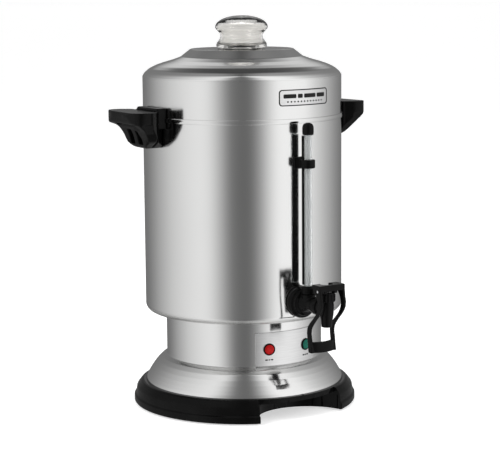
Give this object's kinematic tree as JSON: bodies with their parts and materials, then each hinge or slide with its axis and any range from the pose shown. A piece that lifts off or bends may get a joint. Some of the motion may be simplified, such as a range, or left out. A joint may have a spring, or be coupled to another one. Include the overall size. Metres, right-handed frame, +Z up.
{
  "type": "coffee urn",
  "caption": "Round stainless percolating coffee urn with a push faucet, sight gauge, side handles, glass-knob lid and black base.",
  "frame": {"origin": "on the round body's axis, in the plane the urn stands on", "axes": "+Z up, the faucet faces -Y, +X to the right of a person who stands in front of the faucet"},
  "size_m": [0.3352, 0.322, 0.4713],
  "materials": {
    "steel": "polished stainless steel, crisp reflections",
    "panel_steel": "satin stainless steel",
    "black_plastic": "black moulded heat-resistant plastic, satin gloss",
    "rubber": "matt black rubber",
    "seal": "pale silicone rubber",
    "zinc_sheet": "zinc plated sheet",
    "fastener": "bright plated steel",
    "brass": "bare brass",
    "light_plastic": "heat-resistant moulding, matt",
    "heater_sheath": "heat-tinted sheath",
    "red_lens": "translucent red lens",
    "green_lens": "translucent green lens",
    "aluminium": "bright spun aluminium",
    "clear_tube": "clear tube",
    "clear_glass": "clear moulded glass"
  },
  "bodies": {
    "root": {"base_foot": "black_plastic", "floor_plate": "zinc_sheet", "floor_plate_screws": "fastener", "foot_pads": "rubber", "pedestal_shell": "steel", "pedestal_skirt": "steel", "control_panel": "panel_steel", "power_lamp_lens": "red_lens", "ready_lamp_lens": "green_lens", "lamp_bezels": "black_plastic", "lamp_housings": "light_plastic", "power_inlet": "black_plastic", "inlet_pins": "brass", "inlet_screws": "fastener", "urn_body": "steel", "name_plate": "panel_steel", "brew_heater": "aluminium", "warming_heater": "heater_sheath", "heater_clamp": "zinc_sheet", "clamp_studs": "fastener", "clamp_nuts": "brass", "thermostat": "light_plastic", "thermal_cutoff": "light_plastic", "wiring_block": "light_plastic", "clamp_band": "steel", "left_handle": "black_plastic", "right_handle": "black_plastic", "handle_screws": "fastener", "faucet_body": "black_plastic", "faucet_spout": "black_plastic", "outer_gasket": "rubber", "inner_gasket": "seal", "faucet_nut": "fastener", "faucet_bonnet": "black_plastic", "lever_pin": "fastener", "gauge_tube": "clear_tube", "gauge_guard": "black_plastic", "gauge_cap": "black_plastic", "gauge_bracket": "black_plastic", "gauge_nut": "black_plastic", "gauge_seal": "seal"},
    "lid": {"lid_shell": "steel", "knob_glass": "clear_glass", "knob_gasket": "rubber", "knob_clip": "aluminium"},
    "pump": {"pump_tube": "aluminium", "pump_foot": "aluminium"},
    "basket": {"coffee_basket": "aluminium"},
    "cover": {"basket_cover": "aluminium"},
    "lever": {"faucet_lever": "black_plastic"},
    "valve": {"valve_stem": "fastener", "seat_plug": "seal", "valve_spring": "fastener"}
  },
  "joints": [
    {"name": "lid_lift", "type": "slide", "parent": "root", "child": "lid", "axis": [0, 0, 1], "range_m": [0, 0.42]},
    {"name": "pump_lift", "type": "slide", "parent": "root", "child": "pump", "axis": [0, 0, 1], "range_m": [0, 0.36]},
    {"name": "basket_lift", "type": "slide", "parent": "pump", "child": "basket", "axis": [0, 0, 1], "range_m": [0, 0.03]},
    {"name": "cover_lift", "type": "slide", "parent": "basket", "child": "cover", "axis": [0, 0, 1], "range_m": [0, 0.03]},
    {"name": "lever_push", "type": "hinge", "parent": "root", "child": "lever", "pos_m": [0, -0.178, 0.1615], "axis": [1, 0, 0], "range_deg": [0, 20], "stiffness_Nm_per_rad": 0.35, "springref_deg": -17.19},
    {"name": "plug_lift", "type": "slide", "parent": "root", "child": "valve", "axis": [0, 0, 1], "range_m": [0, 0.004], "deforming": ["valve_spring"]}
  ],
  "couplings": [
    {"joint": "pump_lift", "follows": "lid_lift", "ratio": 0.85},
    {"joint": "basket_lift", "follows": "lid_lift", "ratio": 0.06},
    {"joint": "cover_lift", "follows": "lid_lift", "ratio": 0.06},
    {"joint": "plug_lift", "follows": "lever_push", "m_per_rad": 0.0095}
  ]
}
